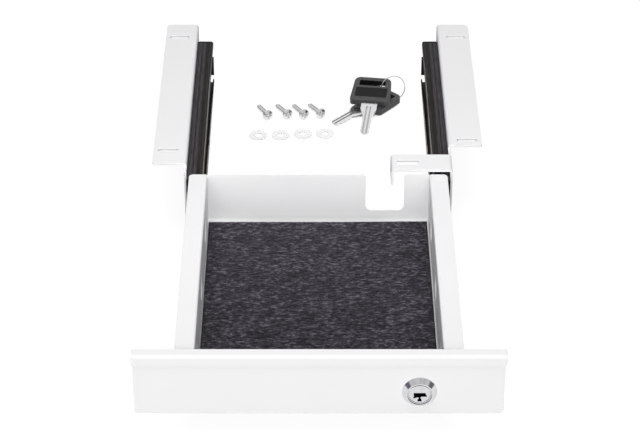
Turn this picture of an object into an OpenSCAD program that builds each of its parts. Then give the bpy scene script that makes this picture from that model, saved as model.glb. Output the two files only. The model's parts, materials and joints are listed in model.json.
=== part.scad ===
// Lockable under-desk drawer, shown fully open.
// +X is to the right of someone sitting at the desk, +Y runs in under the desk, +Z is up.
// The origin is on the desk's underside, midway between the brackets and midway along them.

/* [Desk brackets] */
// Length of each bracket, front to rear
bracket_len = 260; // [200:1:400]
// Thickness of the bracket sheet
bracket_t = 2; // [1.5:0.1:3]
// Height of each bracket's upright web, from the desk down
bracket_h = 52; // [50:0.5:70]
// Width of the outward top plate, from the web's inner face
plate_w = 29.5; // [24:0.5:45]
// Distance from the bracket's front end to the left plate
left_plate_start = 8.5; // [0:0.5:30]
// Distance from the bracket's front end to the right plate
right_plate_start = 38.5; // [30:0.5:60]
// Inside radius of the bracket's bends
bracket_bend_r = 1; // [0.5:0.1:2]
// Distance from the web's inner face to the middle of the screw slots
slot_out = 16.8; // [14:0.1:17]
// Corner radius of the plates' front corners and of the web
bracket_corner_r = 2; // [1:0.5:5]
// Corner radius of the plates' rear corners
plate_rear_r = 5; // [2:0.5:8]
// Width of each screw slot
slot_w = 5; // [4.8:0.1:7]
// Length of each screw slot, end to end
slot_len = 17.5; // [12:0.5:22]
// Distance from the left plate's front end to its front slot
left_slot_inset = 22; // [8:0.5:40]
// Distance from the right plate's front end to its front slot
right_slot_inset = 9; // [8:0.5:40]
// Distance from the bracket's rear end to the rear slots
rear_slot_inset = 24.5; // [10:0.5:40]

/* [Strike tab] */
// Width of the strike tab, along the bracket
strike_w = 25.5; // [18:0.5:30]
// How far the right bracket's web and strike tab reach in front of the left bracket
strike_lead = 2.5; // [0:0.5:5]
// Overhang of the strike tab's turned-down end beyond the lock axis
strike_overhang = 14.5; // [12:0.5:16]
// Depth of the turned-down end, from the desk plane
strike_lip_h = 15; // [8:0.5:20]
// Length of the strike slot, across the cam
strike_slot_len = 18.5; // [16:0.5:20]
// Width of the strike slot, along the drawer's travel
strike_slot_w = 7; // [5:0.5:9]

/* [Slides] */
// Length of the closed slide
rail_len = 246; // [200:1:350]
// Height of the slide
rail_h = 45.7; // [44:0.1:53]
// Thickness of the slide
rail_w = 14.5; // [13.5:0.1:15.5]
// Sheet thickness of the slide members
rail_t = 1.2; // [1:0.1:1.5]
// How far the slide stands out in front of the bracket
rail_overhang = 7; // [2:0.5:15]
// Distance from the desk plane to the slide's top
rail_drop = 6.5; // [5:0.5:12]
// Travel of the drawer from open to closed
slide_travel = 250; // [150:1:260]
// Diameter of the slide balls
ball_d = 3.9; // [3.5:0.1:4]
// Balls in each row of a cage
balls_per_row = 7; // [3:1:9]
// Length of each ball cage
cage_len = 100; // [80:1:110]
// Thickness of the ball cage strip
cage_t = 0.5; // [0.4:0.05:0.6]
// Height of the raised ridges on the slide's top and bottom
ridge_h = 0.3; // [0.2:0.05:0.4]
// Reach of the slide's rear stop plate below mid height
stop_reach = 13.5; // [10:0.5:18]
// Thickness of the plastic buffer at the slide's rear end
buffer_t = 2.7; // [1.5:0.1:5]
// Shank diameter of the slide rivets
rail_rivet_d = 4; // [3:0.1:5]

/* [Tray] */
// Inside width of the tray
tray_inner_w = 190; // [150:1:300]
// Length of the tray over its front and rear walls
tray_len = 256; // [210:1:320]
// Inside height of the tray
tray_inner_h = 45; // [42:0.2:48]
// Thickness of the tray sheet
tray_t = 1; // [0.8:0.1:1.5]
// Inside radius of the tray's bends
tray_bend_r = 1; // [0.5:0.1:2]
// Depth of the dished bosses that reach from the tray wall to the slide
boss_depth = 2.5; // [1.5:0.1:4]
// Diameter of a dished boss at its flat end
boss_d = 19; // [14:0.5:20]
// Gap between the tray flange's edge and the bracket web
flange_edge_gap = 2.5; // [1:0.1:6]
// Gap between the tray flange and the slide under it
flange_gap = 0.9; // [0.5:0.1:2]
// Corner radius of the tray flange's rear corner
flange_corner_r = 4; // [2:0.5:8]
// Width of the notch in the rear wall
notch_w = 33.3; // [28:0.1:40]
// Depth of the notch in the rear wall
notch_h = 36; // [20:0.5:38]
// Distance from the strike tab's lip to the notch's right side
notch_margin = 11.4; // [8:0.1:14]
// Bottom corner radius of the notch
notch_r = 5; // [2:0.5:8]

/* [Felt mat] */
// Thickness of the felt
felt_t = 2; // [1:0.5:4]
// Gap between the felt and the left wall
felt_left_gap = 0.5; // [0.5:0.5:10]
// Gap between the felt and the right wall
felt_right_gap = 1; // [0.5:0.5:10]
// Gap between the felt and the rear wall
felt_rear_gap = 5.5; // [1:0.5:20]
// Gap between the felt and the front wall
felt_front_gap = 2; // [1:0.5:20]

/* [Front panel] */
// Width of the front panel over its top lip
panel_w = 286; // [270:1:380]
// Height of the front panel
panel_h = 55; // [52:0.5:80]
// Gap between the desk and the panel's top
panel_top_gap = 2; // [1:0.5:4]
// Depth of the panel, front of the lip to its back
panel_d = 9.6; // [9:0.1:14]
// Thickness of the panel sheet
panel_t = 1.2; // [0.8:0.1:1.5]
// Height of the lip along the panel's top
lip_h = 9.4; // [6:0.1:12]
// How far the lip stands out from the face
lip_d = 1; // [0.5:0.1:2]
// How far the lip stands out past each side of the face
lip_side = 1; // [0.5:0.1:2]
// Outside radius of the lip's top edge
lip_r = 2; // [1:0.1:2.2]
// Corner radius at the bottom of the face
face_corner_r = 2.5; // [1.5:0.1:4]
// Height of the panel's turned-down rear flange
top_flange_h = 12; // [10:0.5:14]
// Height of the panel's turned-up rear flange
bottom_flange_h = 20; // [18:0.5:22]
// Gap between the closed panel and the slides
panel_gap = 1; // [0.5:0.1:3]
// Shank diameter of the panel rivets
panel_rivet_d = 3.9; // [3:0.1:4.5]

/* [Lock] */
// Distance from the drawer's centre line to the lock axis
lock_x = 77; // [60:0.5:78]
// Distance from the panel's top to the lock axis
lock_drop = 34; // [28:0.5:35]
// Diameter of the lock's trim ring
rosette_d = 27; // [24:0.5:32]
// How far the trim ring stands out from the face
rosette_h = 4.6; // [2.5:0.1:6]
// Diameter of the lock housing's barrel
barrel_d = 18.6; // [16:0.1:20]
// Length of the lock housing's barrel behind the face
barrel_len = 25.5; // [22:0.5:30]
// Diameter of the plug inside the housing
plug_d = 12.6; // [10:0.1:13]
// Diameter of the plug's front face
plug_face_d = 16.8; // [15:0.1:17.5]
// Length of the cam from the lock axis to its tip
cam_len = 35.5; // [31:0.1:35.8]
// Width of the cam at its tip
cam_tip_w = 13; // [8:0.5:14]
// Thickness of the cam
cam_t = 2; // [1.5:0.1:3]
// Side of the plug's square tang
tang_w = 7; // [5:0.1:8]

/* [Keys] */
// Width of a key's bow
bow_w = 38.5; // [34:0.5:42]
// Length of a key's bow
bow_len = 34; // [30:0.5:36]
// Thickness of a key's bow
bow_t = 6; // [4.5:0.1:6.5]
// Length of a key's blade outside the bow
blade_len = 43; // [38:0.5:47]
// Width of the blade
blade_w = 8.6; // [7:0.1:9]
// Thickness of the blade
blade_t = 2.2; // [1.8:0.1:2.4]
// Outside diameter of the key ring
ring_d = 25.3; // [25:0.1:25.6]
// Diameter of the key ring's wire
ring_wire_d = 1.5; // [1.2:0.1:1.8]

/* [Desk screws and washers] */
// Thread diameter of the desk screws
screw_d = 4.8; // [4:0.1:5]
// Length of the desk screws under the head
screw_len = 24; // [14:0.5:28]
// Head diameter of the desk screws
screw_head_d = 10.2; // [8:0.1:11]
// Head height of the desk screws
screw_head_h = 3.2; // [2.5:0.1:4]
// Outside diameter of the washers
washer_d = 16.8; // [12:0.1:18]
// Hole diameter of the washers
washer_hole_d = 7; // [5.5:0.1:9]
// Thickness of the washers
washer_t = 1; // [0.8:0.1:2]
// Distance from the desk plane down to the surface that the loose set lies on
set_drop = 78; // [76:1:90]

/* [Hidden] */
$fn = 64;

left = -1;
right = 1;

// Clearances
fit = 0.05;
loose_fit = 0.2;
slip = 0.25;
rest_gap = 0.3;
past = 1;

// Places along the drawer's travel
bracket_front = -bracket_len / 2;
bracket_rear = bracket_len / 2;
rail_front = bracket_front - rail_overhang;
rail_rear = rail_front + rail_len;
stop_t = 1;
stop_shoulder_z = 6;
stop_neck_w = 12;
member_len = rail_len - stop_t - buffer_t - rest_gap;
middle_front = rail_front - slide_travel / 2;
drawer_rail_front = rail_front - slide_travel;
panel_back = rail_front - panel_gap - slide_travel;
panel_front = panel_back - panel_d;
face_y = panel_front + lip_d;
tray_front = panel_back;
tray_rear = tray_front + tray_len;

// Places across the drawer
tray_x = tray_inner_w / 2;
tray_out_x = tray_x + tray_t;
rail_inner_x = tray_out_x + boss_depth;
web_x = rail_inner_x + rail_w;
plate_edge_x = web_x + plate_w;
flange_edge_x = web_x - flange_edge_gap;
slot_x = web_x + slot_out;

// Heights
rail_z = -rail_drop - rail_h / 2;
flange_top = -rail_drop + flange_gap + tray_t;
floor_top = flange_top - tray_inner_h;
floor_bottom = floor_top - tray_t;
panel_top = -panel_top_gap;
panel_bottom = panel_top - panel_h;
lip_bottom = panel_top - lip_h;
lock_z = panel_top - lock_drop;
set_z = -set_drop;

// Rivet and screw places along a slide member
function hole_places(y, length) = [y + hole_front, y + length / 2, y + length - hole_rear];

// Cross-section of the slides: u runs from the bracket web towards the tray, z from mid height
ball_r = ball_d / 2;
race_gap = ball_d + 2 * fit;
cabinet_half = rail_h / 2 - ridge_h;
middle_half = cabinet_half - rail_t - race_gap;
drawer_half = middle_half - rail_t - race_gap;
outer_race_z = middle_half + race_gap / 2;
inner_race_z = drawer_half + race_gap / 2;
outer_cage_u = rail_t + slip;
middle_u = outer_cage_u + cage_t + slip;
inner_cage_u = middle_u + rail_t + slip;
ball_u = inner_cage_u + cage_t + ball_r + fit;
cage_edge_u = ball_u + ball_r + slip;
middle_edge_u = rail_w - slip;
drawer_web_u = rail_w - rail_t;
drawer_edge_u = inner_cage_u + cage_t + slip;
outer_lip = race_gap * 0.3;
inner_lip = race_gap * 0.075;
ridge_places = [2.3, 5.2];
rail_corner_r = 2;
ball_pitch = (cage_len - 2 * ball_d) / (balls_per_row - 1);

// Screws and rivets along the slides
hole_front = 32;
hole_rear = 36;
hole_slot = 2 * rail_rivet_d;
tray_screw_d = 3.9;
tray_screw_head_d = 8;
tray_screw_head_h = 2;
boss_slope = 2.5;

// Tray and panel
notch_top_r = 3;
upper_rivet_drop = 7.8;
lower_rivet_rise = 14;
panel_rivet_inset = 12;
lip_corner_r = 1;

// Lock
cam_y = face_y + barrel_len;
strike_y = cam_y + cam_t / 2 + slide_travel;
strike_front = bracket_front - strike_lead;
strike_rear = strike_front + strike_w;
strike_end_x = lock_x - strike_overhang;
notch_x1 = strike_end_x + notch_margin;
notch_x0 = notch_x1 - notch_w;
rosette_lap = 2;
rosette_edge_h = 0.6;
rosette_rim_w = 1;
housing_flange_d = rosette_d - 2 * rosette_lap;
housing_flange_t = 1.3;
face_sink = 0.8;
collar_wall = 0.8;
collar_d = plug_face_d + 2 * collar_wall;
nut_t = 3.5;
nut_wall = 2.5;
nut_across = barrel_d + 2 * nut_wall;
nut_room = 3;
plug_face_t = 2;
wafer_count = 5;
wafer_pitch = 3.2;
wafer_start = 3;
wafer_w = 7.6;
wafer_t = 0.8;
wafer_slot_w = 1;
slot_floor = 0.7;
spring_h = 1.2;
key_slot_w = 9.2;
key_slot_h = 2.6;
mouth_depth = 1.5;
cam_screw_d = 4;
cam_screw_head_d = 9;
cam_screw_head_h = 2.2;
cam_hub_d = 18;

// Keys, lying on the same surface as the screws
shoulder_w = 15.2;
shoulder_len = 10;
shoulder_taper = 8;
tang_in_bow = 12;
blade_groove_w = 1.6;
blade_groove_d = 0.5;
bow_slot_w = 25;
bow_slot_h = 7.4;
bow_bar = 4.5;
bow_under = (bow_t - blade_t) / 2;
// Each key's bow end: across, along, and up from the surface, then its turn and its tilt
front_key = [54.3, 130.1, 2 * bow_t + bow_under + 9 * rest_gap];
front_key_turn = -8;
front_key_tilt = 11.5;
back_key = [69.2, 126.6, bow_under + ring_wire_d + 3 * rest_gap];
back_key_turn = -44.5;
back_key_tilt = 1.6;

// The ring runs through a point in each bow's slot, given across the bow and along it from the slot's middle
front_hold = [8.5, 0];
back_hold = [2, -0.8];
ring_spin = 218;
ring_r = (ring_d - ring_wire_d) / 2;

// Desk screws and washers
screw_tips = [[-57, 106.7], [-39.5, 107.8], [-23.7, 107.7], [-8.5, 108.8]];
screw_turns = [23, 26.5, 26, 28];
washer_places = [[-55.8, 54.9], [-34.8, 54.9], [-13.9, 57.3], [6.8, 57.8]];
screw_lean = asin((screw_head_d - screw_d) / 2 / screw_len);

// Flat shapes
module rect(x0, x1, y0, y1) {
  translate([x0, y0]) square([x1 - x0, y1 - y0]);
}

module round_rect(x0, x1, y0, y1, r) {
  rect(x0 + r, x1 - r, y0, y1);
  rect(x0, x1, y0 + r, y1 - r);
  for (x = [x0 + r, x1 - r], y = [y0 + r, y1 - r]) translate([x, y]) circle(r);
}

module slot_shape(length, width) {
  rect(-(length - width) / 2, (length - width) / 2, -width / 2, width / 2);
  for (s = [-1, 1]) translate([s * (length - width) / 2, 0]) circle(width / 2);
}

// A quarter of a bent sheet about (x, y), in the quadrant that qx and qy name
module bend(x, y, r, t, qx, qy) {
  translate([x, y]) intersection() {
    difference() { circle(r + t); circle(r); }
    rect(min(0, qx * (r + t)), max(0, qx * (r + t)), min(0, qy * (r + t)), max(0, qy * (r + t)));
  }
}

// What a square corner at (x, y) loses when it is rounded
module corner_cut(x, y, r, qx, qy) {
  translate([x, y]) difference() {
    rect(min(past * qx, -r * qx), max(past * qx, -r * qx), min(past * qy, -r * qy), max(past * qy, -r * qy));
    translate([-r * qx, -r * qy]) circle(r);
  }
}

// Flat shapes given body: a shape in X and Z drawn along Y, or one in Y and Z drawn along X
module along_y(y0, y1) {
  translate([0, y1, 0]) rotate([90, 0, 0]) linear_extrude(y1 - y0) children();
}

module along_x(x0, x1) {
  translate([x0, 0, 0]) rotate([90, 0, 90]) linear_extrude(x1 - x0) children();
}

module along_z(z0, z1) {
  translate([0, 0, z0]) linear_extrude(z1 - z0) children();
}

module for_side(side) {
  mirror([side == left ? 1 : 0, 0, 0]) children();
}

// Local axes of a slide: X runs from the bracket web towards the tray, Z from mid height
module rail_axes(side) {
  translate([side * web_x, 0, rail_z]) mirror([side == right ? 1 : 0, 0, 0]) children();
}

// Local axes of the lock: Z runs along the lock's axis, into the drawer from the face
module lock_axes() {
  translate([lock_x, face_y, lock_z]) rotate([-90, 0, 0]) children();
}

// Brackets
module web_profile() {
  rect(web_x, web_x + bracket_t, -bracket_h, -bracket_bend_r - bracket_t);
}

module plate_profile() {
  drop = bracket_bend_r + bracket_t;
  web_profile();
  bend(web_x + drop, -drop, bracket_bend_r, bracket_t, -1, 1);
  rect(web_x + drop, plate_edge_x, -bracket_t, 0);
}

module strike_profile() {
  drop = bracket_bend_r + bracket_t;
  web_profile();
  bend(web_x - bracket_bend_r, -drop, bracket_bend_r, bracket_t, 1, 1);
  rect(strike_end_x + drop, web_x - bracket_bend_r, -bracket_t, 0);
  bend(strike_end_x + drop, -drop, bracket_bend_r, bracket_t, -1, 1);
  rect(strike_end_x, strike_end_x + bracket_t, -strike_lip_h, -drop);
}

module plate_part(plate_start) {
  front = bracket_front + plate_start;
  difference() {
    along_y(front, bracket_rear) plate_profile();
    along_z(-bracket_h - past, past) {
      corner_cut(plate_edge_x, front, bracket_corner_r, 1, -1);
      corner_cut(plate_edge_x, bracket_rear, plate_rear_r, 1, 1);
    }
  }
}

module plate_slots(front_y) {
  for (y = [front_y, bracket_rear - rear_slot_inset])
    translate([slot_x, y, 0]) along_z(-bracket_t - past, past) slot_shape(slot_len, slot_w);
}

module rail_rivet_holes() {
  for (y = hole_places(rail_front, rail_len)) translate([web_x, y, rail_z])
    rotate([0, 90, 0]) cylinder(h = 3 * bracket_t, d = rail_rivet_d + 2 * fit, center = true);
}

module bracket_web(front_y) {
  difference() {
    along_y(front_y, bracket_rear) web_profile();
    along_x(web_x - past, web_x + bracket_t + past) {
      corner_cut(front_y, -bracket_h, bracket_corner_r, -1, -1);
      corner_cut(bracket_rear, -bracket_h, bracket_corner_r, 1, -1);
    }
  }
}

module left_bracket() {
  color("white") for_side(left) difference() {
    union() { bracket_web(bracket_front); plate_part(left_plate_start); }
    plate_slots(bracket_front + left_plate_start + left_slot_inset);
    rail_rivet_holes();
  }
}

module right_bracket() {
  color("white") difference() {
    union() {
      bracket_web(strike_front);
      plate_part(right_plate_start);
      along_y(strike_front, strike_rear) strike_profile();
    }
    plate_slots(bracket_front + right_plate_start + right_slot_inset);
    rail_rivet_holes();
    translate([lock_x, strike_y, 0]) along_z(-bracket_t - past, past)
      round_rect(-strike_slot_len / 2, strike_slot_len / 2, -strike_slot_w / 2, strike_slot_w / 2, 1);
  }
}

// Slides
module ridges(half) {
  for (u = ridge_places, s = [-1, 1]) translate([u, s * half]) circle(ridge_h);
}

module cabinet_profile() {
  difference() {
    union() {
      round_rect(0, rail_w, -cabinet_half, cabinet_half, rail_corner_r);
      ridges(cabinet_half);
    }
    round_rect(rail_t, rail_w - rail_t, -cabinet_half + rail_t, cabinet_half - rail_t,
      rail_corner_r - rail_t);
    rect(rail_w - 2 * rail_t, rail_w + past, -outer_race_z + outer_lip, outer_race_z - outer_lip);
  }
}

module middle_profile() {
  difference() {
    round_rect(middle_u, middle_edge_u, -middle_half, middle_half, rail_corner_r);
    round_rect(middle_u + rail_t, middle_edge_u - rail_t, -middle_half + rail_t, middle_half - rail_t,
      rail_corner_r - rail_t);
    rect(middle_edge_u - 2 * rail_t, middle_edge_u + past, -inner_race_z - inner_lip,
      inner_race_z + inner_lip);
  }
}

module drawer_profile() {
  difference() {
    round_rect(drawer_edge_u - rail_corner_r, rail_w, -drawer_half, drawer_half, rail_corner_r);
    rect(drawer_edge_u - rail_corner_r - past, drawer_web_u, -drawer_half + rail_t, drawer_half - rail_t);
    rect(drawer_edge_u - rail_corner_r - past, drawer_edge_u, -drawer_half - past, drawer_half + past);
  }
}

module cage_profile(cage_u, race_z) {
  difference() {
    rect(cage_u, cage_edge_u, -race_z - cage_t / 2, race_z + cage_t / 2);
    rect(cage_u + cage_t, cage_edge_u + past, -race_z + cage_t / 2, race_z - cage_t / 2);
  }
}

module cabinet_rail(side) {
  rivet_cone_r = rail_rivet_d / 2 + rail_t;
  color("#2b2828") rail_axes(side) difference() {
    union() {
      along_y(rail_front, rail_rear) cabinet_profile();
      along_y(rail_rear - stop_t, rail_rear) {
        rect(0, rail_w, -stop_reach, stop_shoulder_z);
        rect(0, stop_neck_w, -stop_reach, cabinet_half - rail_t);
      }
    }
    for (y = hole_places(rail_front, rail_len)) translate([0, y, 0]) rotate([0, 90, 0])
      cylinder(h = rail_t, r1 = rail_rivet_d / 2 + fit, r2 = rivet_cone_r + fit);
  }
}

module rail_rivets(side) {
  rivet_cone_r = rail_rivet_d / 2 + rail_t;
  color("#3a3838") rail_axes(side) for (y = hole_places(rail_front, rail_len))
    translate([0, y, 0]) rotate([0, 90, 0]) {
      cylinder(h = rail_t, r1 = rail_rivet_d / 2, r2 = rivet_cone_r);
      translate([0, 0, -bracket_t]) cylinder(h = bracket_t, d = rail_rivet_d);
      translate([0, 0, -bracket_t]) rotate([180, 0, 0]) dome(2 * rail_rivet_d, rail_rivet_d / 3);
    }
}

module rail_buffer(side) {
  color("#1b1b1b") rail_axes(side) along_y(rail_rear - stop_t - buffer_t, rail_rear - stop_t)
    round_rect(rail_t, cage_edge_u, -drawer_half + rail_t, drawer_half - rail_t, 1);
}

module middle_rail(side) {
  color("#2b2828") rail_axes(side) difference() {
    along_y(middle_front, middle_front + member_len) middle_profile();
    for (y = hole_places(middle_front, member_len)) translate([middle_u, y, 0]) rotate([0, 90, 0])
      cylinder(h = 4 * rail_t, d = hole_slot, center = true);
  }
}

module drawer_rail(side) {
  color("#2b2828") rail_axes(side) difference() {
    along_y(drawer_rail_front, drawer_rail_front + member_len) drawer_profile();
    for (y = hole_places(drawer_rail_front, member_len)) translate([rail_w, y, 0]) rotate([0, 90, 0])
      cylinder(h = 4 * rail_t, d = tray_screw_d + 2 * fit, center = true);
  }
}

// The middle of the overlap between a member and the next, where its cage rides when open
function cage_middle(front_of_outer) = (front_of_outer + front_of_outer - slide_travel / 2 + member_len) / 2;

module ball_places(race_z, middle_y) {
  for (s = [-1, 1], i = [0 : balls_per_row - 1])
    translate([ball_u, middle_y + (i - (balls_per_row - 1) / 2) * ball_pitch, s * race_z]) children();
}

module cage(side, cage_u, race_z, middle_y) {
  color("silver") rail_axes(side) difference() {
    along_y(middle_y - cage_len / 2, middle_y + cage_len / 2) cage_profile(cage_u, race_z);
    ball_places(race_z, middle_y) cylinder(h = 2 * cage_t, r = ball_r + fit, center = true);
  }
}

module balls(side, race_z, middle_y) {
  color("silver") rail_axes(side) ball_places(race_z, middle_y) sphere(ball_r);
}

module outer_cage(side) { cage(side, outer_cage_u, outer_race_z, cage_middle(rail_front)); }
module outer_balls(side) { balls(side, outer_race_z, cage_middle(rail_front)); }
module inner_cage(side) { cage(side, inner_cage_u, inner_race_z, cage_middle(middle_front)); }
module inner_balls(side) { balls(side, inner_race_z, cage_middle(middle_front)); }

// A round head standing on the local XY plane
module dome(d, h) {
  ball = (d * d / 4 + h * h) / (2 * h);
  rotate_extrude() intersection() {
    translate([0, h - ball]) circle(ball);
    rect(0, d / 2, 0, h);
  }
}

module cross_cut(reach, depth) {
  arm = reach / 4.5;
  for (turn = [0, 90]) rotate([0, 0, turn])
    translate([-reach / 2, -arm / 2, -depth]) cube([reach, arm, depth + past]);
}

// A pan head standing on the local XY plane, with its cross recess
module pan_head(d, h) {
  side_h = h / 3;
  recess_reach = d * 0.58;
  recess_depth = h * 0.55;
  difference() {
    union() {
      cylinder(h = side_h, d = d);
      translate([0, 0, side_h]) dome(d, h - side_h);
    }
    translate([0, 0, h]) cross_cut(recess_reach, recess_depth);
  }
}

module tray_screws(side) {
  color("silver") rail_axes(side) for (y = hole_places(drawer_rail_front, member_len))
    translate([rail_w + tray_t, y, 0]) rotate([0, 90, 0]) {
      pan_head(tray_screw_head_d, tray_screw_head_h);
      translate([0, 0, -tray_t - 3 * rail_t]) cylinder(h = tray_t + 3 * rail_t, d = tray_screw_d);
    }
}

// Tray
module tray_profile() {
  r = tray_bend_r;
  rect(-tray_x + r, tray_x - r, floor_bottom, floor_top);
  for (m = [0, 1]) mirror([m, 0]) {
    bend(tray_x - r, floor_top + r, r, tray_t, 1, -1);
    rect(tray_x, tray_out_x, floor_top + r, flange_top - tray_t - r);
    bend(tray_out_x + r, flange_top - tray_t - r, r, tray_t, -1, 1);
    rect(tray_out_x + r, flange_edge_x, flange_top - tray_t, flange_top);
  }
}

module end_wall_outline() {
  round_rect(-tray_out_x, tray_out_x, floor_bottom, flange_top - tray_t, tray_bend_r + tray_t);
  rect(-tray_out_x, tray_out_x, floor_bottom + tray_inner_h / 2, flange_top - tray_t - tray_bend_r);
  rect(-tray_x, tray_x, floor_bottom + tray_inner_h / 2, flange_top);
}

module rear_notch() {
  round_rect(notch_x0, notch_x1, flange_top - notch_h, flange_top + 2 * notch_r, notch_r);
  corner_cut(notch_x0, flange_top, notch_top_r, 1, 1);
  corner_cut(notch_x1, flange_top, notch_top_r, -1, 1);
}

module panel_rivet_places() {
  upper_z = panel_top - upper_rivet_drop;
  lower_z = panel_bottom + lower_rivet_rise;
  x1 = tray_x - panel_rivet_inset;
  for (x = [-x1, 0, x1]) translate([x, tray_front, upper_z]) rotate([-90, 0, 0]) children();
  for (x = [-x1, -x1 / 3, x1 / 3]) translate([x, tray_front, lower_z]) rotate([-90, 0, 0]) children();
}

module tray_wall_dish(side) {
  rail_axes(side) for (y = hole_places(drawer_rail_front, member_len))
    translate([rail_w, y, 0]) rotate([0, 90, 0])
      cylinder(h = boss_depth + tray_t / 2, r1 = boss_d / 2, r2 = boss_d / 2 + boss_slope);
}

module tray_wall_hollow(side) {
  inner = boss_d / 2 - tray_t;
  rail_axes(side) for (y = hole_places(drawer_rail_front, member_len))
    translate([rail_w, y, 0]) rotate([0, 90, 0]) {
      translate([0, 0, tray_t]) cylinder(h = boss_depth, r1 = inner, r2 = inner + boss_slope);
      cylinder(h = 4 * tray_t, d = tray_screw_d + 2 * fit, center = true);
    }
}

module tray() {
  color("white") difference() {
    union() {
      along_y(tray_front, tray_rear) tray_profile();
      along_y(tray_rear - tray_t, tray_rear) difference() {
        end_wall_outline();
        rear_notch();
      }
      along_y(tray_front, tray_front + tray_t) end_wall_outline();
      for (side = [left, right]) tray_wall_dish(side);
    }
    for (side = [left, right]) tray_wall_hollow(side);
    for (side = [left, right]) along_z(flange_top - 2 * tray_t, flange_top + past)
      corner_cut(side * flange_edge_x, tray_rear, flange_corner_r, side, 1);
    lock_axes() cylinder(h = 2 * panel_d + barrel_len / 2, d = barrel_d + 4 * loose_fit);
    panel_rivet_places() cylinder(h = 4 * tray_t, d = panel_rivet_d + 2 * fit, center = true);
  }
}

module felt_mat() {
  color("#454348") translate([-tray_x + felt_left_gap, tray_front + tray_t + felt_front_gap, floor_top])
    cube([tray_inner_w - felt_left_gap - felt_right_gap,
      tray_len - 2 * tray_t - felt_front_gap - felt_rear_gap, felt_t]);
}

// Front panel
module panel_profile() {
  difference() {
    rect(face_y, panel_back, panel_bottom, panel_top);
    rect(face_y + panel_t, panel_back - panel_t, panel_bottom + panel_t, panel_top - panel_t);
    rect(panel_back - 2 * panel_t, panel_back + past, panel_bottom + bottom_flange_h,
      panel_top - top_flange_h);
  }
  rect(panel_front, face_y, lip_bottom, panel_top);
}

module panel_end(side) {
  face_x = panel_w / 2 - lip_side;
  for_side(side) {
    along_x(face_x - panel_t, face_x) rect(face_y, panel_back, panel_bottom, lip_bottom);
    along_x(face_x - panel_t, panel_w / 2) rect(panel_front, panel_back, lip_bottom, panel_top);
  }
}

module panel_outline() {
  face_x = panel_w / 2 - lip_side;
  round_rect(-face_x, face_x, panel_bottom, panel_top + 2 * face_corner_r, face_corner_r);
  round_rect(-panel_w / 2, panel_w / 2, lip_bottom, panel_top, lip_corner_r);
}

module front_panel() {
  face_x = panel_w / 2 - lip_side;
  color("white") difference() {
    intersection() {
      union() {
        along_x(-face_x, face_x) panel_profile();
        for (side = [left, right]) panel_end(side);
      }
      along_y(panel_front - past, panel_back + past) panel_outline();
    }
    along_x(-panel_w, panel_w) corner_cut(panel_front, panel_top, lip_r, -1, 1);
    lock_axes() translate([0, 0, -past]) cylinder(h = panel_d / 2, d = barrel_d + 2 * loose_fit);
    lock_axes() translate([0, 0, panel_t]) cylinder(h = 2 * panel_d, r = barrel_d / 2 + nut_room);
    panel_rivet_places() cylinder(h = 6 * panel_t, d = panel_rivet_d + 2 * fit, center = true);
  }
}

module panel_rivets() {
  head_h = 1.2;
  tail_len = 3;
  tail_wall = 0.8;
  color("silver") panel_rivet_places() {
    translate([0, 0, tray_t]) dome(2 * panel_rivet_d, head_h);
    translate([0, 0, -panel_t - tail_len]) cylinder(h = tray_t + panel_t + tail_len, d = panel_rivet_d);
    translate([0, 0, -panel_t - tail_len]) cylinder(h = tail_len, d = panel_rivet_d + 2 * tail_wall);
  }
}

// Lock
module lock_rosette() {
  outer = rosette_d / 2;
  rim = collar_d / 2 + loose_fit;
  color("#c9cacc") lock_axes() rotate_extrude() difference() {
    polygon([[rim, 0], [outer, 0], [outer, -rosette_edge_h], [rim + rosette_rim_w, -rosette_h],
      [rim, -rosette_h]]);
    rect(0, housing_flange_d / 2 + loose_fit, -housing_flange_t, past);
  }
}

module lock_housing() {
  color("#c2c3c6") lock_axes() difference() {
    union() {
      translate([0, 0, -housing_flange_t]) cylinder(h = housing_flange_t, d = housing_flange_d);
      translate([0, 0, -rosette_h + face_sink]) cylinder(h = rosette_h, d = collar_d);
      cylinder(h = barrel_len - slip, d = barrel_d);
    }
    translate([0, 0, -rosette_h]) cylinder(h = barrel_len + 2 * rosette_h, d = plug_d + 2 * fit);
    translate([0, 0, -rosette_h]) cylinder(h = plug_face_t + face_sink + fit, d = plug_face_d + 2 * fit);
  }
}

module lock_nut() {
  color("#b5b6b9") lock_axes() translate([0, 0, panel_t]) difference() {
    cylinder(h = nut_t, d = nut_across / cos(30), $fn = 6);
    translate([0, 0, -past]) cylinder(h = nut_t + 2 * past, d = barrel_d + 2 * fit);
  }
}

// The keyway across the plug: a wide flat slot with a short rib slot under it
module keyway() {
  rect(-key_slot_w / 2, key_slot_w / 2, -key_slot_h / 2, key_slot_h / 2);
  rect(-key_slot_h / 3, key_slot_h / 3, 0, key_slot_h * 1.2);
}

// The keyway's mouth in the plug's face: an arched slit that leans to the left, over a short spreading stem
module keyway_mouth() {
  half_w = key_slot_w / 2 + 0.5;
  arch_top = 0.6;
  arch_t = 3;
  outer_r = 7;
  inner_r = 18;
  lean = 9;
  stem_w = 1.5;
  stem_end = 4;
  foot_top_w = 2;
  foot_w = 3.6;
  foot_end = 6.6;
  rotate(-lean) difference() {
    intersection() {
      translate([0, outer_r - arch_top]) circle(outer_r);
      rect(-half_w, half_w, -arch_top, outer_r);
    }
    translate([0, arch_t - arch_top + inner_r]) circle(inner_r);
  }
  rect(-stem_w / 2, stem_w / 2, 0, stem_end);
  polygon([[-foot_top_w / 2, stem_end - fit], [foot_top_w / 2, stem_end - fit], [foot_w / 2, foot_end],
    [-foot_w / 2, foot_end]]);
}

module wafer_places() {
  for (i = [0 : wafer_count - 1]) translate([0, 0, wafer_start + i * wafer_pitch]) children();
}

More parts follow.
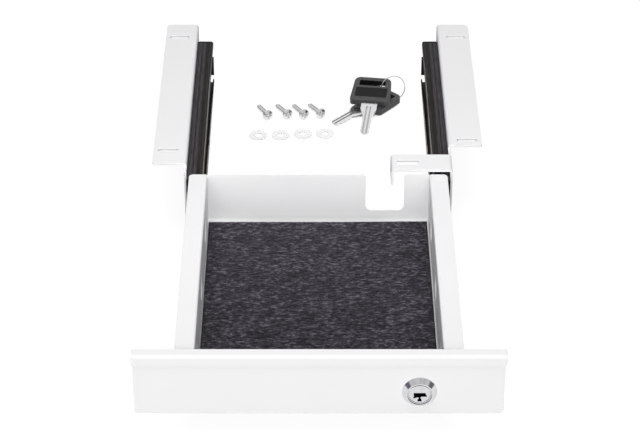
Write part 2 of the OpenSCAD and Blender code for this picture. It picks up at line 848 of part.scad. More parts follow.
module lock_plug() {
  front = face_sink - rosette_h;
  chamfer = 0.7;
  color("#cfd0d2") lock_axes() difference() {
    union() {
      translate([0, 0, front]) rotate_extrude()
        polygon([[0, 0], [plug_face_d / 2 - chamfer, 0], [plug_face_d / 2, chamfer / 2],
          [plug_face_d / 2, plug_face_t - fit], [0, plug_face_t - fit]]);
      translate([0, 0, front]) cylinder(h = barrel_len - front, d = plug_d);
      translate([-tang_w / 2, -tang_w / 2, barrel_len - past]) cube([tang_w, tang_w, cam_t + past]);
    }
    translate([0, 0, front - past]) linear_extrude(mouth_depth + past) keyway_mouth();
    translate([0, 0, front - past]) linear_extrude(barrel_len - wafer_pitch) keyway();
    wafer_places() translate([-wafer_w / 2, slot_floor - plug_d / 2, 0])
      cube([wafer_w, plug_d, wafer_slot_w]);
    translate([0, 0, barrel_len - past]) cylinder(h = 4 * past, d = cam_screw_d + 2 * fit);
  }
}

module lock_wafers() {
  side_wall = 1.2;
  slack = 0.4;
  edge = (wafer_slot_w - wafer_t) / 2;
  foot = slot_floor + spring_h + fit - plug_d / 2;
  top = sqrt(plug_d * plug_d - wafer_w * wafer_w) / 2 - fit;
  color("#c9a648") lock_axes() wafer_places() translate([0, 0, edge]) linear_extrude(wafer_t) difference() {
    rect(-wafer_w / 2 + fit, wafer_w / 2 - fit, foot, top);
    rect(side_wall - blade_w / 2, blade_w / 2 - side_wall, -key_slot_h / 2 - slack, key_slot_h / 2 + slack);
  }
}

// One unbroken coil of wire about the local Z axis
module coil(r, wire_r, height, turns) {
  per_turn = 8;
  sides = 5;
  rings = turns * per_turn;
  points = [for (i = [0 : rings], k = [0 : sides - 1])
    let (a = 360 * i / per_turn, b = 360 * k / sides, reach = r + wire_r * cos(b))
      [reach * cos(a), reach * sin(a), wire_r + (height - 2 * wire_r) * i / rings + wire_r * sin(b)]];
  tube = [for (i = [0 : rings - 1], k = [0 : sides - 1])
    let (a = i * sides + k, b = i * sides + (k + 1) % sides)
      each [[a, a + sides, b], [b, a + sides, b + sides]]];
  caps = [for (k = [1 : sides - 2])
    each [[0, k, k + 1], [rings * sides, rings * sides + k + 1, rings * sides + k]]];
  polyhedron(points, concat(tube, caps));
}

// Each wafer's spring stands on the floor of its slot and pushes up on the wafer's foot
module wafer_springs() {
  spring_r = 0.3;
  wire_r = 0.08;
  color("silver") lock_axes() wafer_places()
    translate([0, slot_floor - plug_d / 2, wafer_slot_w / 2]) rotate([-90, 0, 0])
      coil(spring_r, wire_r, spring_h, 2);
}

// The cam points to the left while the lock is open, and turns up into the strike slot
module lock_cam() {
  tip_r = 2;
  color("#b9babd") lock_axes() translate([0, 0, barrel_len]) difference() {
    linear_extrude(cam_t) {
      circle(d = cam_hub_d);
      rect(tip_r - cam_len, 0, -cam_tip_w / 2, cam_tip_w / 2);
      round_rect(-cam_len, 3 * tip_r - cam_len, -cam_tip_w / 2, cam_tip_w / 2, tip_r);
    }
    hole = tang_w + 2 * fit;
    translate([-hole / 2, -hole / 2, -past]) cube([hole, hole, cam_t + 2 * past]);
  }
}

module cam_screw() {
  shank = 2.5;
  color("silver") lock_axes() translate([0, 0, barrel_len + cam_t]) {
    pan_head(cam_screw_head_d, cam_screw_head_h);
    translate([0, 0, -shank]) cylinder(h = shank, d = cam_screw_d);
  }
}

// Keys: the blade's tip is at the local origin and the bow lies along +Y
module key_axes(place, turn, tilt) {
  translate([place[0], place[1], set_z + place[2]]) rotate([0, 0, turn]) rotate([tilt, 0, 0])
    translate([0, -blade_len - bow_len, 0]) children();
}

module front_key_axes() { key_axes(front_key, front_key_turn, front_key_tilt) children(); }
module back_key_axes() { key_axes(back_key, back_key_turn, back_key_tilt) children(); }

// Where the ring passes through a bow's slot
function slot_point(place, turn, tilt, hold) =
  let (along = hold[1] - bow_bar - bow_slot_h / 2, up = blade_t / 2,
    y = along * cos(tilt) - up * sin(tilt), z = along * sin(tilt) + up * cos(tilt))
  [place[0] + hold[0] * cos(turn) - y * sin(turn), place[1] + hold[0] * sin(turn) + y * cos(turn),
    set_z + place[2] + z];

function unit(v) = v / norm(v);

module key_blade() {
  cut_w = 2.4;
  first_cut = 5.5;
  cut_pitch = 5.6;
  cut_depths = [0.8, 1.25, 1.7];
  tip_len = 2.2;
  tip_w = 3.5;
  neck_y = blade_len - shoulder_len;
  color("silver") difference() {
    linear_extrude(blade_t) difference() {
      union() {
        rect(-blade_w / 2, blade_w / 2, tip_len, blade_len);
        polygon([[-blade_w / 2, tip_len], [-tip_w / 2, 0], [tip_w / 2, 0], [blade_w / 2, tip_len]]);
        rect(-shoulder_w / 2, shoulder_w / 2, neck_y, blade_len);
        polygon([[-blade_w / 2, neck_y - shoulder_taper], [blade_w / 2, neck_y - shoulder_taper],
          [shoulder_w / 2, neck_y], [-shoulder_w / 2, neck_y]]);
        rect(-shoulder_w / 3, shoulder_w / 3, blade_len, blade_len + tang_in_bow);
      }
      for (i = [0 : 3], s = [-1, 1]) {
        depth = cut_depths[(2 * i + s + 1) % 3];
        translate([s * blade_w / 2, first_cut + cut_pitch * i])
          polygon([[-s * depth, -cut_w / 4], [-s * depth, cut_w / 4], [s, cut_w / 2 + depth],
            [s, -cut_w / 2 - depth]]);
      }
    }
    for (x = [-blade_w / 5, blade_w / 5]) translate([x - blade_groove_w / 2, -past, blade_t - blade_groove_d])
      cube([blade_groove_w, blade_len - shoulder_len / 2, past]);
  }
}

module bow_outline() {
  taper = 1.6;
  blade_end_r = 3;
  far_end_r = 6;
  y0 = blade_len;
  y1 = blade_len + bow_len;
  round_rect(-bow_w / 2 + taper, bow_w / 2 - taper, y1 - 2 * far_end_r, y1, far_end_r);
  polygon([[-bow_w / 2, y0 + blade_end_r], [bow_w / 2, y0 + blade_end_r], [bow_w / 2 - taper, y1 - far_end_r],
    [-bow_w / 2 + taper, y1 - far_end_r]]);
  round_rect(-bow_w / 2, bow_w / 2, y0, y0 + 2 * blade_end_r, blade_end_r);
}

module key_bow() {
  panel_inset = 4;
  panel_rise = 6;
  slot_r = 1.2;
  slot_margin = 2.5;
  panel_r = 1.5;
  panel_depth = 0.5;
  slot_y = blade_len + bow_len - bow_bar - bow_slot_h;
  color("#2a2a2b") difference() {
    translate([0, 0, -bow_under]) linear_extrude(bow_t) difference() {
      bow_outline();
      round_rect(-bow_slot_w / 2, bow_slot_w / 2, slot_y, slot_y + bow_slot_h, slot_r);
    }
    translate([-shoulder_w / 3, blade_len - past, 0]) cube([2 * shoulder_w / 3, tang_in_bow + past, blade_t]);
    translate([0, 0, bow_t - bow_under - panel_depth]) linear_extrude(past)
      round_rect(-bow_w / 2 + panel_inset, bow_w / 2 - panel_inset, blade_len + panel_rise,
        slot_y - slot_margin, panel_r);
  }
}

module key_ring() {
  p1 = slot_point(front_key, front_key_turn, front_key_tilt, front_hold);
  p2 = slot_point(back_key, back_key_turn, back_key_tilt, back_hold);
  chord = unit(p2 - p1);
  level = unit(cross(chord, [0, 0, 1]));
  side = cos(ring_spin) * level + sin(ring_spin) * cross(chord, level);
  middle = (p1 + p2) / 2 + side * sqrt(ring_r * ring_r - norm(p2 - p1) * norm(p2 - p1) / 4);
  axis = cross(chord, side);
  color("silver") translate(middle) rotate([0, acos(axis[2]), atan2(axis[1], axis[0])])
    rotate_extrude() translate([ring_r, 0]) circle(d = ring_wire_d, $fn = 24);
}

// Desk screws lie on their heads' rims and their tips
module desk_screws() {
  color("silver") for (i = [0 : len(screw_tips) - 1])
    translate([screw_tips[i][0], screw_tips[i][1], set_z]) rotate([0, 0, screw_turns[i]])
      translate([0, 0, screw_d / 2 * cos(screw_lean)]) rotate([90 - screw_lean, 0, 0]) {
        cylinder(h = screw_len, d = screw_d);
        translate([0, 0, screw_len]) pan_head(screw_head_d, screw_head_h);
      }
}

module desk_washers() {
  color("#f2f2f0") for (place = washer_places) translate([place[0], place[1], set_z]) difference() {
    cylinder(h = washer_t, d = washer_d);
    translate([0, 0, -past]) cylinder(h = washer_t + 2 * past, d = washer_hole_d);
  }
}

left_bracket();
right_bracket();
cabinet_rail(left);  // left_cabinet_rail
cabinet_rail(right);  // right_cabinet_rail
rail_rivets(left);  // left_rail_rivets
rail_rivets(right);  // right_rail_rivets
rail_buffer(left);  // left_rail_buffer
rail_buffer(right);  // right_rail_buffer
middle_rail(left);  // left_middle_rail
middle_rail(right);  // right_middle_rail
outer_cage(left);  // left_outer_cage
outer_cage(right);  // right_outer_cage
outer_balls(left);  // left_outer_balls
outer_balls(right);  // right_outer_balls
inner_cage(left);  // left_inner_cage
inner_cage(right);  // right_inner_cage
inner_balls(left);  // left_inner_balls
inner_balls(right);  // right_inner_balls
drawer_rail(left);  // left_drawer_rail
drawer_rail(right);  // right_drawer_rail
tray_screws(left);  // left_tray_screws
tray_screws(right);  // right_tray_screws
tray();
felt_mat();
front_panel();
panel_rivets();
lock_rosette();
lock_housing();
lock_nut();
lock_plug();
lock_wafers();
wafer_springs();
lock_cam();
cam_screw();
front_key_axes() key_blade();  // front_key_blade
front_key_axes() key_bow();  // front_key_bow
back_key_axes() key_blade();  // back_key_blade
back_key_axes() key_bow();  // back_key_bow
key_ring();
desk_screws();
desk_washers();
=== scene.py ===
import json
import math

import bmesh
import bpy
import numpy as np
from mathutils import Matrix, Vector, noise


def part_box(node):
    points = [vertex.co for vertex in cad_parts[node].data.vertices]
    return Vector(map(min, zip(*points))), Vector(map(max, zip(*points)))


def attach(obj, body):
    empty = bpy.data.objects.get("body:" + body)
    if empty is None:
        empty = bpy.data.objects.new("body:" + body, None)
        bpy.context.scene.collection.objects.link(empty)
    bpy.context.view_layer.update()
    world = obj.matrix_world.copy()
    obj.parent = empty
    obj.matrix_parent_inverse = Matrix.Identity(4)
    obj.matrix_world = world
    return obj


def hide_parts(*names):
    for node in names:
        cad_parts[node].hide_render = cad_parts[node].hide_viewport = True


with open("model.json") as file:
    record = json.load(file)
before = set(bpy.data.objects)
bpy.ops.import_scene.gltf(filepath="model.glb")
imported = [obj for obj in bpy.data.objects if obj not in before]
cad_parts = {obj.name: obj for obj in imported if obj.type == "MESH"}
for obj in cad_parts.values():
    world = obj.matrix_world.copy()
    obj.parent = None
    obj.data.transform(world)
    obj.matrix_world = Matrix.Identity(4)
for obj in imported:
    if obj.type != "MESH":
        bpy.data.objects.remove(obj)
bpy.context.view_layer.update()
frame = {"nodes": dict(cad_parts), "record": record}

MM = 0.001
TAU = 2 * math.pi

# Where the photograph was taken from
CAMERA_PLACE = (-0.0055, -1.7956, 1.0296)
CAMERA_TILT = math.radians(57)
CAMERA_SHIFT = 0.0128
LENS_MM = 128.8
SENSOR_MM = 36

# The loose set lies on the floor
FLOOR_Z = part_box("desk_washers")[0].z
WHITE = (1.0, 1.0, 1.0, 1.0)

# The felt's rear edge stands this much further forward at its left than at its right
FELT_SKEW = 1.0 * MM

# Corners nearer than this are one, shorter edges are dropped, and faces that turn less are one flat face
JOIN_GAP = 2e-6
SHORT_EDGE = 1e-6
FLAT_TURN = math.radians(0.5)


# Node trees

class Tree:
    """A material's or the world's nodes, built from small calls."""

    def __init__(self, owner):
        owner.use_nodes = True
        self.nodes = owner.node_tree.nodes
        self.links = owner.node_tree.links
        self.nodes.clear()

    def feed(self, socket, value):
        """Links an input to an output, or sets it to a value."""
        if isinstance(value, bpy.types.NodeSocket):
            self.links.new(value, socket)
        else:
            socket.default_value = value

    def add(self, kind, inputs=None, **settings):
        """A node of that kind, with values or links on its inputs and its settings set."""
        node = self.nodes.new("ShaderNode" + kind)
        for key, value in settings.items():
            setattr(node, key, value)
        for key, value in (inputs or {}).items():
            self.feed(node.inputs[key], value)
        return node

    def noise(self, scale, detail=4.0, roughness=0.55, offset=(0, 0, 0), turn=0.0, distortion=0.0):
        """Noise over the object's own place; scale is how many features fit in a metre, per axis."""
        place = self.add("TexCoord").outputs["Object"]
        mapping = self.add("Mapping", {"Vector": place, "Location": offset, "Rotation": (0, 0, turn),
                                       "Scale": scale})
        return self.add("TexNoise", {"Vector": mapping.outputs["Vector"], "Scale": 1.0, "Detail": detail,
                                     "Roughness": roughness, "Distortion": distortion}).outputs["Fac"]

    def place(self):
        """The object's own X, Y and Z at the shaded point, in metres."""
        return self.add("SeparateXYZ", {"Vector": self.add("TexCoord").outputs["Object"]}).outputs

    def grey(self, value):
        """The same value as a colour."""
        return self.add("CombineColor", {0: value, 1: value, 2: value}).outputs[0]

    def ramp(self, value, *stops):
        """Colours between stops; each stop is a place and a grey or a colour."""
        node = self.add("ValToRGB", {"Fac": value})
        ramp = node.color_ramp
        while len(ramp.elements) < len(stops):
            ramp.elements.new(0.5)
        for element, (place, colour) in zip(ramp.elements, stops):
            element.position = place
            grey = not hasattr(colour, "__len__")
            element.color = (colour, colour, colour, 1) if grey else (*colour[:3], 1)
        return node.outputs["Color"]

    def span(self, value, low, high, start=0.0, end=1.0):
        """Goes from low to high while value goes from start to end."""
        return self.add("MapRange", {"Value": value, "From Min": start, "From Max": end,
                                     "To Min": low, "To Max": high}).outputs["Result"]

    def math(self, operation, a, b=0.0):
        """One operation on a, or on a and b."""
        return self.add("Math", {0: a, 1: b}, operation=operation).outputs[0]

    def mix(self, factor, a, b, blend="MIX"):
        """Goes from colour a to colour b, or to the two blended, as the factor goes from 0 to 1."""
        node = self.add("Mix", data_type="RGBA", blend_type=blend)
        for name, value in (("Factor_Float", factor), ("A_Color", a), ("B_Color", b)):
            self.feed(next(s for s in node.inputs if s.identifier == name), value)
        return next(s for s in node.outputs if s.identifier == "Result_Color")

    def bump(self, height, strength, distance, below=None):
        """A bumped normal, over another one where below is given."""
        inputs = {"Height": height, "Strength": strength, "Distance": distance}
        if below is not None:
            inputs["Normal"] = below
        return self.add("Bump", inputs).outputs["Normal"]

    def surface(self, **inputs):
        """The material's shader; each argument is an input's name with its spaces as underscores."""
        shader = self.add("BsdfPrincipled", inputs={k.replace("_", " "): v for k, v in inputs.items()})
        self.add("OutputMaterial", {"Surface": shader.outputs["BSDF"]})


def material(name):
    """A new material and its empty node tree."""
    made = bpy.data.materials.new(name)
    return made, Tree(made)


# The fold at the foot of the tray's rear wall lies in shade, measured from the felt's top and rear edge
FOLD_FOOT = 3 * MM
FOLD_TOP = 22 * MM
FOLD_FLOOR = 6 * MM
FOLD_FRONT = 2 * MM
FOLD_BACK = 9 * MM
FOLD_FADES_FROM = 50 * MM
FOLD_FADES_TO = 95 * MM


def rear_shade(t):
    """How pale the fold at the foot of the rear wall is, from its foot up, and where it lies."""
    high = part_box("felt_mat")[1]
    place = t.place()
    rise = t.span(place["Z"], 0.0, 1.0, high.z - FOLD_FOOT, high.z + FOLD_TOP)
    shade = t.ramp(rise, (0.0, 0.72), (0.12, 0.76), (0.28, 0.90), (0.6, 0.96), (1.0, 1.0))
    behind = t.math("MULTIPLY", t.math("GREATER_THAN", place["Y"], high.y - FOLD_FRONT),
                    t.math("LESS_THAN", place["Y"], high.y + FOLD_BACK))
    middle = t.span(t.math("ABSOLUTE", place["X"]), 1.0, 0.25, FOLD_FADES_FROM, FOLD_FADES_TO)
    above = t.math("GREATER_THAN", place["Z"], high.z - FOLD_FLOOR)
    return shade, t.math("MULTIPLY", behind, t.math("MULTIPLY", middle, above))


def powder_coat():
    """White powder coat: a fine orange peel, faint mottling, and shade in the fold behind the felt."""
    made, t = material("white_powder_coat")
    mottle = t.noise((9, 9, 9), detail=5)
    grain = t.noise((2600, 2600, 2600), detail=2)
    tone = t.ramp(mottle, (0.3, (0.866, 0.866, 0.870)), (0.7, (0.888, 0.887, 0.889)))
    tone = t.mix(t.span(grain, 0.0, 0.08, 0.3, 0.7), tone, (0.80, 0.80, 0.805, 1))
    shade, where = rear_shade(t)
    tone = t.mix(where, tone, t.mix(1.0, tone, shade, "MULTIPLY"))
    peel = t.noise((420, 420, 420), detail=3)
    normal = t.bump(peel, 0.10, 0.0003)
    normal = t.bump(grain, 0.12, 0.00006, normal)
    rough = t.span(t.noise((60, 60, 60), detail=3), 0.40, 0.52, 0.3, 0.7)
    t.surface(Base_Color=tone, Roughness=rough, Normal=normal, Specular_IOR_Level=0.45)
    return made


# Painted light across a slide's top, from the bracket to the tray: shade by the bracket, highlights on two
# pressed ridges, a highlight on the edge beside the tray that grows to the rear, and shade at the rear end
RAIL_OUTER_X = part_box("right_cabinet_rail")[1].x
RAIL_INNER_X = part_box("right_cabinet_rail")[0].x
RAIL_REAR_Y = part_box("right_cabinet_rail")[1].y
RAIL_LIGHT_BANDS = (
    (0.008, (0.022, 0.021, 0.022)), (0.03, (0.058, 0.052, 0.057)), (0.26, (0.052, 0.047, 0.052)),
    (0.335, (0.021, 0.020, 0.021)), (0.41, (0.052, 0.047, 0.051)), (0.52, (0.046, 0.041, 0.044)),
    (0.60, (0.017, 0.015, 0.014)), (0.76, (0.015, 0.013, 0.012)), (0.83, (0.028, 0.025, 0.023)),
    (0.90, (0.024, 0.021, 0.020)), (0.94, (0.011, 0.009, 0.009)),
)
# The painted edge highlight: where it lies across the top, and how far from the rear it fades in
RAIL_EDGE_HIGHLIGHT = ((0.945, 0.0), (0.962, 1.0), (0.99, 1.0))
HIGHLIGHT_STARTS = 75 * MM
HIGHLIGHT_FULL = 25 * MM
# How long the painted shade at the slide's rear end is
SHADED_END = 3 * MM


def electrocoat():
    """Black electrocoat on rolled steel: streaks along the slide, rubbed lines, an oily sheen,
    and painted highlights and painted shade across the slide's top.
    """
    made, t = material("black_electrocoat")
    streak = t.noise((420, 5, 420), detail=6, roughness=0.6)
    rubbed = t.noise((1500, 9, 1500), detail=3, offset=(3, 1, 7))
    blotch = t.noise((35, 14, 35), detail=4)
    tone = t.ramp(streak, (0.32, (0.016, 0.014, 0.014)), (0.55, (0.023, 0.020, 0.020)),
                  (0.75, (0.040, 0.036, 0.036)))
    place = t.place()
    across = t.math("ABSOLUTE", place["X"])
    inward = t.span(across, 0.0, 1.0, RAIL_OUTER_X, RAIL_INNER_X)
    # Painted highlights on the two ridges and painted shade by the bracket
    band = t.ramp(inward, *RAIL_LIGHT_BANDS)
    # A painted highlight on the edge beside the tray, brighter towards the rear
    near = t.span(place["Y"], 1.0, 0.0, RAIL_REAR_Y - HIGHLIGHT_STARTS, RAIL_REAR_Y - HIGHLIGHT_FULL)
    band = t.mix(t.math("MULTIPLY", t.ramp(inward, *RAIL_EDGE_HIGHLIGHT), near), band, (0.56, 0.51, 0.47, 1))
    # Painted shade over the slide's rear end
    end_shade = t.math("GREATER_THAN", place["Y"], RAIL_REAR_Y - SHADED_END)
    band = t.mix(end_shade, band, (0.012, 0.011, 0.011, 1))
    # The painted light lies on faces that look up
    upward = t.add("SeparateXYZ", {"Vector": t.add("NewGeometry").outputs["Normal"]}).outputs["Z"]
    top = t.span(upward, 0.0, 1.0, 0.4, 0.8)
    uneven = t.span(t.noise((900, 60, 900), detail=5), 0.55, 1.45, 0.3, 0.7)
    band = t.mix(1.0, band, t.grey(uneven), "MULTIPLY")
    tone = t.mix(top, tone, band)
    tone = t.mix(t.span(rubbed, 0.0, 0.5, 0.58, 0.75), tone, (0.055, 0.050, 0.050, 1))
    rough = t.math("ADD", t.span(blotch, 0.30, 0.46, 0.3, 0.7), t.span(streak, -0.05, 0.08, 0.3, 0.7))
    normal = t.bump(streak, 0.22, 0.00025)
    normal = t.bump(t.noise((1800, 1800, 1800), detail=2), 0.10, 0.00004, normal)
    t.surface(Base_Color=tone, Roughness=rough, Normal=normal, Specular_IOR_Level=0.05)
    return made


def zinc_plate():
    """Bright zinc plating: pale bluish steel, soft cloudy patches, fine marks and painted shade in grooves.
    """
    made, t = material("zinc_plate")
    cloud = t.noise((160, 160, 160), detail=5)
    marks = t.noise((900, 5200, 2600), detail=3, turn=0.4)
    tone = t.ramp(cloud, (0.3, (0.82, 0.825, 0.835)), (0.7, (0.94, 0.94, 0.945)))
    tone = t.mix(t.span(marks, 0.0, 0.30, 0.5, 0.75), tone, (0.55, 0.555, 0.57, 1))
    # Painted shade on the floors of a key blade's grooves
    groove_shade = t.span(t.add("Attribute", attribute_name="groove_shade").outputs["Fac"], 1.0, 0.62)
    tone = t.mix(1.0, tone, t.grey(groove_shade), "MULTIPLY")
    rough = t.span(cloud, 0.20, 0.36, 0.3, 0.7)
    normal = t.bump(marks, 0.10, 0.00005)
    t.surface(Base_Color=tone, Metallic=1.0, Roughness=rough, Normal=normal)
    return made


# The keyway is unlit from this far behind the plug's face, and up to this far from the lock's axis
KEYWAY_DEPTH = 0.4 * MM
KEYWAY_REACH = 7.4 * MM

# The crescent of shade on the plug's face lies within a circle round the lock's axis, and outside a larger
# circle whose middle is lower
RIM_SHADOW_REACH = 9.2 * MM
RIM_SHADOW_DROP = 3.1 * MM
RIM_SHADOW_INNER = 11.2 * MM
RIM_SHADOW_BLUR = 0.2 * MM


def lock_place(t, drop=0.0):
    """How far behind the plug's face, how far above its axis, and how far from a point drop below that."""
    low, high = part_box("lock_plug")
    place = t.place()
    across = t.math("SUBTRACT", place["X"], (low.x + high.x) / 2)
    up = t.math("SUBTRACT", place["Z"], (low.z + high.z) / 2)
    lower = t.math("ADD", up, drop)
    square = t.math("ADD", t.math("MULTIPLY", across, across), t.math("MULTIPLY", lower, lower))
    return t.math("SUBTRACT", place["Y"], low.y), up, t.math("SQRT", square)


def in_keyway(t):
    """1 inside the plug, behind its face, and 0 elsewhere."""
    behind, _, reach = lock_place(t)
    return t.math("MULTIPLY", t.math("LESS_THAN", reach, KEYWAY_REACH),
                  t.math("GREATER_THAN", behind, KEYWAY_DEPTH))


def in_rim_shadow(t):
    """1 in the crescent of shade that the ring's rim casts on the top of the plug's face, else 0."""
    _, up, reach = lock_place(t)
    outside = lock_place(t, RIM_SHADOW_DROP)[2]
    shade = t.math("MULTIPLY", t.span(outside, 0.0, 1.0, RIM_SHADOW_INNER - RIM_SHADOW_BLUR, RIM_SHADOW_INNER + RIM_SHADOW_BLUR),
                   t.math("LESS_THAN", reach, RIM_SHADOW_REACH))
    return t.math("MULTIPLY", shade, t.math("GREATER_THAN", up, 0.0))


def polished(name, low, high, smooth, dull, keyway=False):
    """Polished metal with faint smudges: low and high are its tones, smooth and dull its roughness.
    Where it is the lock's, keyway adds the shade in the keyway and under the ring's rim."""
    made, t = material(name)
    smudge = t.noise((240, 240, 240), detail=6, roughness=0.65)
    tone = t.ramp(smudge, (0.3, low), (0.7, high))
    if keyway:
        tone = t.mix(in_rim_shadow(t), tone, (0.12, 0.115, 0.11, 1))
        tone = t.mix(in_keyway(t), tone, (0.006, 0.006, 0.006, 1))
    rough = t.span(smudge, smooth, dull, 0.3, 0.75)
    normal = t.bump(t.noise((700, 700, 700), detail=2), 0.03, 0.0001)
    t.surface(Base_Color=tone, Metallic=1.0, Roughness=rough, Normal=normal)
    return made


def moulded_plastic():
    """Black moulded plastic with a fine spark-eroded grain, greyer where hands have rubbed it.
    The floor of a key bow's panel and the inside of its slot keep the darker tone as painted shade.
    """
    made, t = material("black_moulded_plastic")
    grain = t.noise((3200, 3200, 3200), detail=2)
    dust = t.noise((260, 260, 260), detail=6, roughness=0.7)
    fresh_and_shaded = t.ramp(dust, (0.35, (0.006, 0.006, 0.006)), (0.75, (0.014, 0.014, 0.015)))
    handled_and_lit = t.ramp(dust, (0.35, (0.042, 0.042, 0.043)), (0.75, (0.082, 0.082, 0.084)))
    # 1 where a bow is rubbed and lit, 0 on its panel's floor and in its slot, which take painted shade
    rubbed = t.add("Attribute", attribute_name="handled_and_lit").outputs["Fac"]
    tone = t.mix(rubbed, fresh_and_shaded, handled_and_lit)
    rough = t.span(dust, 0.36, 0.50, 0.3, 0.7)
    t.surface(Base_Color=tone, Roughness=rough, Normal=t.bump(grain, 0.25, 0.00006),
              Specular_IOR_Level=t.span(rubbed, 0.18, 0.5))
    return made


# A painted glow, in place of light that milky nylon passes on from the pale ground
NYLON_PAINTED_GLOW = 0.13


def nylon():
    """Natural nylon: milky, a little waxy, with flow marks and a faint painted glow."""
    made, t = material("natural_nylon")
    flow = t.noise((140, 260, 140), detail=5)
    tone = t.ramp(flow, (0.3, (0.925, 0.925, 0.92)), (0.7, (0.955, 0.955, 0.95)))
    rough = t.span(flow, 0.34, 0.48, 0.3, 0.7)
    normal = t.bump(t.noise((900, 900, 900), detail=2), 0.03, 0.0001)
    t.surface(Base_Color=tone, Roughness=rough, Normal=normal, Transmission_Weight=0.16, IOR=1.45,
              Emission_Color=tone, Emission_Strength=NYLON_PAINTED_GLOW)
    return made


# The felt's rim is darker, from this far inside its outline to this far
RIM_DARK = 0.4 * MM
RIM_CLEAR = 2.2 * MM


def needle_felt():
    """Dark heather needle felt: light and dark fibres that lie mostly across the drawer."""
    made, t = material("heather_felt")
    long = t.noise((170, 430, 300), detail=3, roughness=0.6, turn=0.10, distortion=0.5)
    cross = t.noise((300, 520, 300), detail=3, roughness=0.6, turn=-0.5, offset=(4, 9, 2), distortion=0.4)
    fine = t.noise((900, 2000, 900), detail=3, roughness=0.7, turn=0.2)
    cloud = t.noise((40, 60, 40), detail=3)
    fibre = t.math("ADD", t.math("MULTIPLY", long, 0.44), t.math("MULTIPLY", cross, 0.44))
    fibre = t.math("ADD", fibre, t.math("MULTIPLY", fine, 0.12))
    fibre = t.math("ADD", fibre, t.span(cloud, -0.02, 0.02, 0.3, 0.7))
    tone = t.ramp(fibre, (0.41, (0.009, 0.007, 0.010)), (0.50, (0.032, 0.028, 0.036)),
                  (0.56, (0.066, 0.061, 0.073)), (0.63, (0.165, 0.157, 0.176)))
    low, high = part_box("felt_mat")
    place = t.place()
    inset = t.math("MINIMUM", t.math("SUBTRACT", place["X"], low.x), t.math("SUBTRACT", high.x, place["X"]))
    inset = t.math("MINIMUM", inset, t.math("SUBTRACT", high.y - FELT_SKEW, place["Y"]))
    tone = t.mix(t.span(inset, 0.55, 0.0, RIM_DARK, RIM_CLEAR), tone, (0.012, 0.009, 0.012, 1))
    normal = t.bump(fibre, 0.6, 0.0010)
    normal = t.bump(t.noise((3000, 5200, 3000), detail=2), 0.4, 0.0002, normal)
    t.surface(Base_Color=tone, Roughness=0.95, Normal=normal, Specular_IOR_Level=0.12,
              Sheen_Weight=0.10, Sheen_Roughness=0.6, Sheen_Tint=(0.75, 0.74, 0.80, 1))
    return made


MATERIALS = {
    "white_steel": powder_coat(),
    "black_steel": electrocoat(),
    "black_plastic": moulded_plastic(),
    "zinc_steel": zinc_plate(),
    "bearing_steel": polished("bearing_steel", (0.62, 0.62, 0.63), (0.74, 0.74, 0.75), 0.06, 0.16),
    "chrome": polished("chrome_plate", (0.70, 0.70, 0.72), (0.80, 0.80, 0.82), 0.04, 0.13, keyway=True),
    "brass": polished("stamped_brass", (0.40, 0.28, 0.12), (0.52, 0.38, 0.18), 0.18, 0.34),
    "felt": needle_felt(),
    "nylon": nylon(),
}
SLOT_OF = {row["node"]: row["material_slot"] for row in frame["record"]["subparts"]}
BODY_OF = {node: body for body, nodes in frame["record"]["behaviour"]["bodies"].items() for node in nodes}


# Pieces

def piece(mesh, node, own_normals=True):
    """A new object that stands for a CAD node, rides on its body and takes its finish."""
    obj = bpy.data.objects.new(node + "_dressed", mesh)
    bpy.context.scene.collection.objects.link(obj)
    mesh.materials.clear()
    mesh.materials.append(MATERIALS[SLOT_OF[node]])
    mesh.shade_smooth()
    if own_normals:
        weigh_normals(mesh)
    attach(obj, BODY_OF[node])
    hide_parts(node)
    return obj


def weigh_normals(mesh, limit=52):
    """Shades each face from its neighbours by area, so that only the rounded edges turn."""
    bm = bmesh.new()
    bm.from_mesh(mesh)
    least = math.cos(math.radians(limit))
    normals = []
    weights = {face: face.normal * face.calc_area() for face in bm.faces}
    for face in bm.faces:
        for loop in face.loops:
            total = Vector()
            for other in loop.vert.link_faces:
                if other.normal.dot(face.normal) > least:
                    total += weights[other]
            normals.append(total.normalized() if total.length > 0 else face.normal.copy())
    bm.free()
    mesh.normals_split_custom_set(normals)


def dressed(bm, node):
    """Makes a bmesh the piece that stands for a CAD node, and frees it."""
    mesh = bpy.data.meshes.new(node + "_dressed")
    bm.to_mesh(mesh)
    bm.free()
    piece(mesh, node)


def cleaned(node):
    """The CAD node's surface as a new bmesh: joined corners and whole flat faces."""
    bm = bmesh.new()
    bm.from_mesh(frame["nodes"][node].data)
    bmesh.ops.remove_doubles(bm, verts=bm.verts, dist=JOIN_GAP)
    bmesh.ops.dissolve_degenerate(bm, edges=bm.edges, dist=SHORT_EDGE)
    bmesh.ops.dissolve_limit(bm, angle_limit=FLAT_TURN, verts=bm.verts, edges=bm.edges)
    return bm


def rolled(bm, radius, segments=2, min_angle=35, miter="ARC"):
    """Rolls over the sharp edges of a bmesh, as paint, plating or a mould leaves them."""
    least = math.radians(min_angle)
    sharp = [edge for edge in bm.edges if len(edge.link_faces) == 2 and edge.calc_face_angle(0) > least]
    bmesh.ops.bevel(bm, geom=sharp, offset=radius, offset_type="OFFSET", segments=segments, profile=0.5,
                    affect="EDGES", clamp_overlap=False, loop_slide=False, miter_outer=miter)
    bmesh.ops.remove_doubles(bm, verts=bm.verts, dist=JOIN_GAP)
    bmesh.ops.dissolve_degenerate(bm, edges=bm.edges, dist=SHORT_EDGE)


# Keys: a bow's panel and a blade's grooves lie this deep under the top face, and its slot inside its bar
PANEL_DEPTH = 0.5 * MM
GROOVE_DEPTH = 0.5 * MM
BOW_BAR = 4.5 * MM
SLOT_HIGH = 7.4 * MM
SLOT_WIDE = 25 * MM

